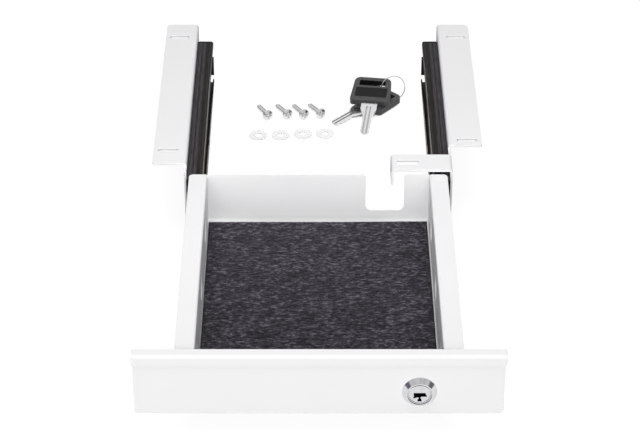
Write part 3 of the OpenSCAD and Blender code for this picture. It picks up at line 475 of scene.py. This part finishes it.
# A corner counts as on a face, or as in the slot, up to this far from it
ON_FACE = 0.06 * MM
BY_SLOT = 0.35 * MM
UNDER_EDGE = 0.15 * MM

# A dark sheet in the front bow's slot that stands in for the shade seen through it
# The lip at the foot of the front bow's slot: how far it stands out, where it ends beside the slot's middle,
# its thickness, how far over the bow's foot it starts, how deep it goes into the slot's walls, and its edge
LIP_REACH = 1.6 * MM
LIP_END = 4.0 * MM
LIP_THICK = 1.0 * MM
LIP_RISE = 0.05 * MM
LIP_ROOT = 0.3 * MM
LIP_EDGE = 0.15 * MM


def flat_frame(bm):
    """A flat piece's own directions: out of its top face, to the right and away from the viewer."""
    flat = max(bm.faces, key=lambda face: face.calc_area()).normal.copy()
    flat *= math.copysign(1.0, flat.z)
    longest = max(bm.edges, key=lambda edge: edge.calc_length())
    side = (longest.verts[1].co - longest.verts[0].co).normalized()
    side *= math.copysign(1.0, side.x)
    return flat, side, flat.cross(side)


def join(whole, part):
    """Adds one bmesh to another and frees it."""
    mesh = bpy.data.meshes.new("part")
    part.to_mesh(mesh)
    whole.from_mesh(mesh)
    bpy.data.meshes.remove(mesh)
    part.free()


def slot_shade_lip(bm):
    """A black lip at the foot of a bow's slot, on the side of the bar, that leaves room for the ring.
    It is a dark sheet that stands in for the shade seen through the slot.
    """
    flat, side, along = flat_frame(bm)
    foot = min(vert.co.dot(flat) for vert in bm.verts)
    wall = max(vert.co.dot(along) for vert in bm.verts) - BOW_BAR
    across = [vert.co.dot(side) for vert in bm.verts]
    middle = (min(across) + max(across)) / 2
    spans = ((side, middle - SLOT_WIDE / 2 - LIP_ROOT, middle + LIP_END),
             (along, wall - LIP_REACH, wall + LIP_ROOT),
             (flat, foot + LIP_RISE, foot + LIP_RISE + LIP_THICK))
    place = Matrix.Identity(4)
    for column, (way, start, end) in enumerate(spans):
        for row in range(3):
            place[row][column] = way[row] * (end - start)
            place[row][3] += way[row] * (start + end) / 2
    lip = bmesh.new()
    bmesh.ops.create_cube(lip, size=1.0, matrix=place)
    rolled(lip, LIP_EDGE)
    join(bm, lip)


def mark_bow(bm):
    """Marks a bow as rubbed by hands, but for the floor of its panel and the inside of its slot,
    which take painted shade.
    """
    flat, side, along = flat_frame(bm)
    top = max(vert.co.dot(flat) for vert in bm.verts)
    end = max(vert.co.dot(along) for vert in bm.verts)
    across = [vert.co.dot(side) for vert in bm.verts]
    middle = (min(across) + max(across)) / 2
    handled_and_lit = bm.verts.layers.float.new("handled_and_lit")
    for vert in bm.verts:
        under = top - vert.co.dot(flat)
        short = end - vert.co.dot(along) - BOW_BAR
        in_panel = abs(under - PANEL_DEPTH) < ON_FACE
        in_slot = (under > UNDER_EDGE and -BY_SLOT < short < SLOT_HIGH + BY_SLOT
                   and abs(vert.co.dot(side) - middle) < SLOT_WIDE / 2 + BY_SLOT)
        vert[handled_and_lit] = 0.0 if in_panel or in_slot else 1.0


def mark_blade(bm):
    """Marks the floors of a blade's grooves, which take painted shade."""
    flat = flat_frame(bm)[0]
    top = max(vert.co.dot(flat) for vert in bm.verts)
    groove_shade = bm.verts.layers.float.new("groove_shade")
    for vert in bm.verts:
        vert[groove_shade] = float(abs(top - vert.co.dot(flat) - GROOVE_DEPTH) < ON_FACE)


EXTRAS = {"front_key_bow": (slot_shade_lip, mark_bow), "back_key_bow": (mark_bow,),
          "front_key_blade": (mark_blade,), "back_key_blade": (mark_blade,)}


# These turn their corners in one point, and the others round them
SHARP_CORNERS = ("front_panel", "right_bracket", "lock_plug")


def rounded(node, radius):
    """The CAD node with its sharp edges rolled over."""
    bm = cleaned(node)
    rolled(bm, radius, miter="SHARP" if node in SHARP_CORNERS else "ARC")
    for extra in EXTRAS.get(node, ()):
        extra(bm)
    dressed(bm, node)


# How far each node's edges are rolled over, in millimetres
EDGE_RADIUS = {
    "left_bracket": 0.2, "right_bracket": 0.2, "tray": 0.28, "front_panel": 0.32,
    "left_cabinet_rail": 0.14, "right_cabinet_rail": 0.14,
    "left_middle_rail": 0.25, "right_middle_rail": 0.25,
    "left_drawer_rail": 0.25, "right_drawer_rail": 0.25,
    "left_outer_cage": 0.1, "right_outer_cage": 0.1, "left_inner_cage": 0.1, "right_inner_cage": 0.1,
    "left_rail_rivets": 0.12, "right_rail_rivets": 0.12, "left_rail_buffer": 0.3, "right_rail_buffer": 0.3,
    "left_tray_screws": 0.12, "right_tray_screws": 0.12, "panel_rivets": 0.12,
    "lock_rosette": 0.18, "lock_housing": 0.15, "lock_nut": 0.3, "lock_plug": 0.15, "lock_wafers": 0.1,
    "lock_cam": 0.25, "cam_screw": 0.15,
    "front_key_blade": 0.035, "back_key_blade": 0.035, "front_key_bow": 0.22, "back_key_bow": 0.22,
    "desk_washers": 0.3,
}
for node, radius in EDGE_RADIUS.items():
    rounded(node, radius * MM)


def solids(node):
    """Each separate solid of a CAD node, as a bmesh of its own."""
    whole = cleaned(node)
    left = set(whole.verts)
    groups = []
    for first in whole.verts:
        if first not in left:
            continue
        left.remove(first)
        group = set()
        front = [first]
        while front:
            vert = front.pop()
            group.add(vert)
            near = {edge.other_vert(vert) for edge in vert.link_edges} & left
            left -= near
            front.extend(near)
        groups.append(group)
    made = []
    for group in groups:
        bm = whole.copy()
        bm.verts.ensure_lookup_table()
        keep = {vert.index for vert in group}
        bmesh.ops.delete(bm, geom=[v for v in bm.verts if v.index not in keep], context="VERTS")
        made.append(bm)
    whole.free()
    return made


def axes_of(bm):
    """A solid's middle and its three directions, longest first."""
    points = np.array([vert.co for vert in bm.verts])
    middle = points.mean(axis=0)
    turned = np.linalg.svd(points - middle, full_matrices=False)[2]
    return Vector(middle), [Vector(row) for row in turned]


def skin(bm, rings):
    """Joins rings of corners into one closed bar."""
    sides = len(rings[0])
    for one, two in zip(rings, rings[1:]):
        for k in range(sides):
            bm.faces.new((one[k], one[(k + 1) % sides], two[(k + 1) % sides], two[k]))
    bm.faces.new(rings[0][::-1])
    bm.faces.new(rings[-1])


def tube(bm, path, radius, sides, flat):
    """A closed round bar along a path of points that lies square to the direction called flat."""
    rings = []
    for i, point in enumerate(path):
        way = (path[min(i + 1, len(path) - 1)] - path[max(i - 1, 0)]).normalized()
        side = way.cross(flat).normalized()
        up = side.cross(way)
        rings.append([bm.verts.new(point + radius * (math.cos(a) * side + math.sin(a) * up))
                      for a in (TAU * k / sides for k in range(sides))])
    skin(bm, rings)


def clamped(value, low=0.0, high=1.0):
    return min(high, max(low, value))


# Desk screws: the solid's own head, with a cut thread and a blunt point in place of its plain shank. The
# core and the point's end are shares of the shank's radius, and half a crest is a share of the pitch
SCREW_PITCH = 1.7 * MM
SCREW_CORE = 0.70
SCREW_POINT = 3.4 * MM
POINT_END = 0.42
CREST_HALF = 0.34
CREST_FLAT = 1.25
THREAD_ENDS = 1.6 * MM
THREAD_RUNS_OUT = 0.5 * MM
SCREW_SIDES = 28
STEPS_PER_TURN = 9


def threaded_shank(bm, foot, way, length, radius):
    """Adds a bar with a spiral crest, from its point at foot to the plain neck under the head."""
    side = way.orthogonal().normalized()
    up = way.cross(side)
    rows = []
    steps = int(length / SCREW_PITCH * STEPS_PER_TURN)
    for i in range(steps + 1):
        z = length * i / steps
        narrow = min(1.0, POINT_END + (1 - POINT_END) * z / SCREW_POINT)
        under_head = clamped((z - length + THREAD_ENDS) / THREAD_RUNS_OUT)
        row = []
        for k in range(SCREW_SIDES):
            a = TAU * k / SCREW_SIDES
            phase = (z / SCREW_PITCH - k / SCREW_SIDES) % 1.0
            crest = max(0.0, 1 - abs(phase - 0.5) / CREST_HALF) * (1 - under_head) + 0.5 * under_head
            r = radius * narrow * (SCREW_CORE + (1 - SCREW_CORE) * min(1.0, CREST_FLAT * crest))
            row.append(bm.verts.new(foot + way * z + r * (math.cos(a) * side + math.sin(a) * up)))
        rows.append(row)
    skin(bm, rows)


# A head is where the solid is this many times as wide as its shank, whose width is read this near its tip.
# It is cut off this far before its seat, and the new shank goes this far into it
HEAD_WIDENS = 1.4
TIP_BAND = 0.2 * MM
HEAD_SPLIT = 0.02 * MM
SHANK_IN_HEAD = 0.3 * MM
HEAD_EDGE = 0.22 * MM


def screws():
    """All four desk screws as one piece."""
    whole = bmesh.new()
    for bm in solids("desk_screws"):
        middle, (way, _, _) = axes_of(bm)
        along = [(vert.co - middle).dot(way) for vert in bm.verts]
        across = [((vert.co - middle) - way * t).length for vert, t in zip(bm.verts, along)]
        widest = max(range(len(across)), key=lambda i: across[i])
        if along[widest] < 0:
            way, along = -way, [-t for t in along]
        tip = min(along)
        shank_r = max(r for t, r in zip(along, across) if t < tip + TIP_BAND)
        seat = min(t for t, r in zip(along, across) if r > HEAD_WIDENS * shank_r)
        bmesh.ops.bisect_plane(bm, geom=bm.verts[:] + bm.edges[:] + bm.faces[:], dist=1e-7,
                               plane_co=middle + way * (seat - HEAD_SPLIT), plane_no=way, clear_inner=True)
        bmesh.ops.holes_fill(bm, edges=[edge for edge in bm.edges if edge.is_boundary])
        rolled(bm, HEAD_EDGE)
        threaded_shank(bm, middle + way * tip, way, seat - tip + SHANK_IN_HEAD, shank_r)
        join(whole, bm)
    dressed(whole, "desk_screws")


screws()


# Key ring: one wire wound round a little more than once, its ends side by side. It crosses from one side of
# the ring to the other over part of a turn
RING_TURNS = 1.24
RING_WIRE = 0.42 * MM
RING_SPREAD = 0.32 * MM
RING_LAP = Vector((0.75, -0.15, -0.65))
CROSSING_STARTS = 0.3
CROSSING_TURNS = 0.66
RING_STEPS = 190
WIRE_SIDES = 12


def key_ring():
    """A sprung wire ring with the middle, the axis and the radius of its solid."""
    bm = cleaned("key_ring")
    middle, (_, _, axis) = axes_of(bm)
    radius = float(np.mean([((v.co - middle) - axis * (v.co - middle).dot(axis)).length for v in bm.verts]))
    bm.clear()
    start = (RING_LAP - axis * RING_LAP.dot(axis)).normalized()
    side = axis.cross(start)
    lap = (RING_TURNS - 1) * TAU
    path = []
    for i in range(RING_STEPS + 1):
        turns = RING_TURNS * i / RING_STEPS
        a = TAU * turns - lap / 2
        ease = clamped((turns - CROSSING_STARTS) / CROSSING_TURNS)
        lift = RING_SPREAD * (2 * ease * ease * (3 - 2 * ease) - 1)
        path.append(middle + radius * (math.cos(a) * start + math.sin(a) * side) + axis * lift)
    tube(bm, path, RING_WIRE, WIRE_SIDES, axis)
    dressed(bm, "key_ring")


key_ring()


# Felt mat: a fuzzy top, soft cut edges, and a rear edge that runs out of square between two shares of its
# width. The top drops at the outermost row of corners, and a little at the next
FELT_STEP = 1.3 * MM
FELT_FUZZ = 0.45 * MM
FELT_FRAY = 0.16 * MM
FELT_TUFT = 0.85
SKEW_FROM = 0.6
SKEW_TO = 0.95
SKEW_DEPTH = 0.2
FELT_EDGE_DROP = {0: 0.5 * MM, 1: 0.12 * MM}

# Noise for small and large tufts, and for the fray: how many fit in a metre across and along, and its layer
TUFTS = ((700, 1100, 0), (260, 420, 5))
FRAY = (900, 900, 9)


def felt_noise(x, y, across, along, layer):
    return noise.noise((x * across, y * along, layer))


def inward(index, last):
    """1 at a grid's first row, -1 at its last, and 0 between them."""
    return (index == 0) - (index == last)


def felt_top(low, high, nx, ny):
    """The corners of the felt's top, row by row from the front."""
    corners = []
    for j in range(ny + 1):
        for i in range(nx + 1):
            u, v = i / nx, j / ny
            x, y = low.x + u * (high.x - low.x), low.y + v * (high.y - low.y)
            tuft = FELT_TUFT * sum(felt_noise(x, y, *scale) for scale in TUFTS)
            drop = FELT_EDGE_DROP.get(min(i, nx - i, j, ny - j), 0)
            z = high.z - FELT_FUZZ * (0.5 - 0.5 * clamped(tuft, -1, 1)) - drop
            fray = FELT_FRAY * (1 + felt_noise(x, y, *FRAY))
            x += fray * inward(i, nx)
            y += fray * inward(j, ny)
            slant = clamped((u - SKEW_FROM) / (SKEW_TO - SKEW_FROM))
            y -= FELT_SKEW * (1 - slant) * max(0.0, 1 - (1 - v) / SKEW_DEPTH)
            corners.append((x, y, z))
    return corners


def felt_mat():
    """The felt as a fine grid with side walls and a flat underside."""
    low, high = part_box("felt_mat")
    nx = round((high.x - low.x) / FELT_STEP)
    ny = round((high.y - low.y) / FELT_STEP)
    row = nx + 1
    verts = felt_top(low, high, nx, ny)
    faces = [(a, a + 1, a + row + 1, a + row) for a in (j * row + i for j in range(ny) for i in range(nx))]
    loop = list(range(row))
    loop += [j * row + nx for j in range(1, ny + 1)]
    loop += [ny * row + i for i in range(nx - 1, -1, -1)]
    loop += [j * row for j in range(ny - 1, 0, -1)]
    foot = len(verts)
    verts += [(verts[k][0], verts[k][1], low.z) for k in loop]
    count = len(loop)
    for k in range(count):
        n = (k + 1) % count
        faces.append((loop[k], foot + k, foot + n, loop[n]))
    faces.append(tuple(foot + k for k in range(count - 1, -1, -1)))
    mesh = bpy.data.meshes.new("felt_mat_dressed")
    mesh.from_pydata(verts, [], faces)
    mesh.validate()
    felt = piece(mesh, "felt_mat", own_normals=False)


felt_mat()


# Camera, light and floor

camera = bpy.data.objects.new("camera", bpy.data.cameras.new("camera"))
bpy.context.scene.collection.objects.link(camera)
camera.location = CAMERA_PLACE
camera.rotation_euler = (CAMERA_TILT, 0, 0)
camera.data.lens = LENS_MM
camera.data.sensor_width = SENSOR_MM
camera.data.shift_x = CAMERA_SHIFT
camera.data.clip_start = 0.05
camera.data.clip_end = 50
bpy.context.scene.camera = camera
bpy.context.scene.view_settings.view_transform = "Standard"


def softbox(name, place, target, size, power, spread=180):
    """A rectangular lamp that lights the object but shows in no reflection."""
    lamp = bpy.data.lights.new(name, "AREA")
    lamp.shape = "RECTANGLE"
    lamp.size, lamp.size_y = size
    lamp.energy = power
    lamp.spread = math.radians(spread)
    obj = bpy.data.objects.new(name, lamp)
    obj.location = place
    obj.rotation_euler = (Vector(target) - Vector(place)).to_track_quat("-Z", "Y").to_euler()
    obj.visible_camera = False
    obj.visible_glossy = False
    bpy.context.scene.collection.objects.link(obj)


softbox("front_softbox", place=(-0.12, -3.1, 1.25), target=(-0.12, 0, 1.2), size=(2.4, 2.5), power=92)
softbox("top_softbox", place=(0.0, -0.5, 2.0), target=(0, -0.1, 0), size=(1.4, 1.4), power=26)
softbox("tray_softbox", place=(-0.03, -0.33, 0.24), target=(0.0, -0.02, -0.03), size=(0.16, 0.10),
        power=0.04, spread=120)

# The floor is seen as a glow mixed with a matte surface that takes the object's shadow, and takes a painted
# contact shadow where something covers it closely. To light that isn't seen it is a dull grey
FLOOR_HALF = 4.0
FLOOR_SHOWN = 0.8
FLOOR_GLOW = 1.13
FLOOR_SEEN = (0.86, 0.86, 0.86, 1)
FLOOR_UNSEEN = (0.16, 0.16, 0.16, 1)
FLOOR_CONTACT_SHADE = (0.02, 0.02, 0.02, 1)
COVER_REACH = 15 * MM


def studio_floor():
    """A pale floor that keeps the object's shadow and runs into the white background."""
    made, t = material("studio_floor")
    path = t.add("LightPath")
    seen = t.math("MAXIMUM", path.outputs["Is Camera Ray"], path.outputs["Is Glossy Ray"])
    seen = t.math("MAXIMUM", seen, path.outputs["Is Transmission Ray"])
    # Painted contact shadow where something lies close above the floor
    open_sky = t.add("AmbientOcclusion", {"Distance": COVER_REACH}).outputs["AO"]
    clear = t.math("MAXIMUM", t.span(open_sky, 0.0, 1.0, 0.10, 0.28), path.outputs["Is Transmission Ray"])
    shown = t.math("MULTIPLY", clear, FLOOR_SHOWN)
    tone = t.mix(path.outputs["Is Camera Ray"], FLOOR_UNSEEN, FLOOR_SEEN)
    tone = t.mix(clear, FLOOR_CONTACT_SHADE, tone)
    matte = t.add("BsdfDiffuse", {"Color": tone})
    glow = t.add("Emission", {"Color": WHITE, "Strength": FLOOR_GLOW})
    share = t.math("MULTIPLY", seen, shown)
    mixed = t.add("MixShader", {0: share, 1: matte.outputs[0], 2: glow.outputs[0]})
    t.add("OutputMaterial", {"Surface": mixed.outputs[0]})
    corners = [(x * FLOOR_HALF, y * FLOOR_HALF, 0) for x, y in ((-1, -1), (1, -1), (1, 1), (-1, 1))]
    mesh = bpy.data.meshes.new("studio_floor")
    mesh.from_pydata(corners, [], [(0, 1, 2, 3)])
    mesh.materials.append(made)
    floor = bpy.data.objects.new("studio_floor", mesh)
    floor.location.z = FLOOR_Z
    bpy.context.scene.collection.objects.link(floor)


# What a mirror sees in the room: dim walls to the left and to the right, and pale elsewhere
LEFT_WALL = (0.17, 0.14, 0.20, 1)
RIGHT_WALL = (0.20, 0.16, 0.14, 1)
BEHIND_OBJECT = (0.95, 0.95, 0.95, 1)
FILL_LIGHT = (0.19, 0.19, 0.196, 1)


def studio_world():
    """White where it is seen, a weak even fill as light, and a room with dim side walls in reflections."""
    world = bpy.data.worlds.new("studio")
    bpy.context.scene.world = world
    t = Tree(world)
    path = t.add("LightPath")
    seen = t.math("MAXIMUM", path.outputs["Is Camera Ray"], path.outputs["Is Transmission Ray"])
    way = t.add("TexCoord").outputs["Generated"]
    rooms = t.add("TexNoise", {"Vector": way, "Scale": 2.2, "Detail": 1.0}).outputs["Fac"]
    split = t.add("SeparateXYZ", {"Vector": way})
    across, rise = split.outputs["X"], split.outputs["Z"]
    mirrored = t.ramp(rise, (0.0, 0.92), (0.25, 0.80), (0.55, 0.66), (1.0, 0.68))
    mirrored = t.mix(t.span(split.outputs["Y"], 0.0, 0.8, 0.2, 0.6), mirrored, BEHIND_OBJECT)
    mirrored = t.mix(1.0, mirrored, t.ramp(rooms, (0.36, (0.80, 0.79, 0.82)), (0.47, 1.0)), "MULTIPLY")
    wall = t.mix(t.span(across, 0.0, 1.0, -1.0, 1.0), LEFT_WALL, RIGHT_WALL)
    beside = t.span(t.math("ABSOLUTE", across), 0.0, 1.0, 0.70, 0.90)
    height = t.ramp(rise, (0.0, 0.3), (0.06, 1.0), (0.44, 1.0), (0.56, 0.0))
    mirrored = t.mix(t.math("MULTIPLY", beside, height), mirrored, wall)
    fill = t.mix(path.outputs["Is Glossy Ray"], FILL_LIGHT, mirrored)
    colour = t.mix(seen, fill, WHITE)
    shader = t.add("Background", {"Color": colour, "Strength": 1.0})
    t.add("OutputWorld", {"Surface": shader.outputs[0]})


studio_floor()
studio_world()

for node, obj in frame["nodes"].items():
    obj.data.materials.clear()
    obj.data.materials.append(MATERIALS[SLOT_OF[node]])
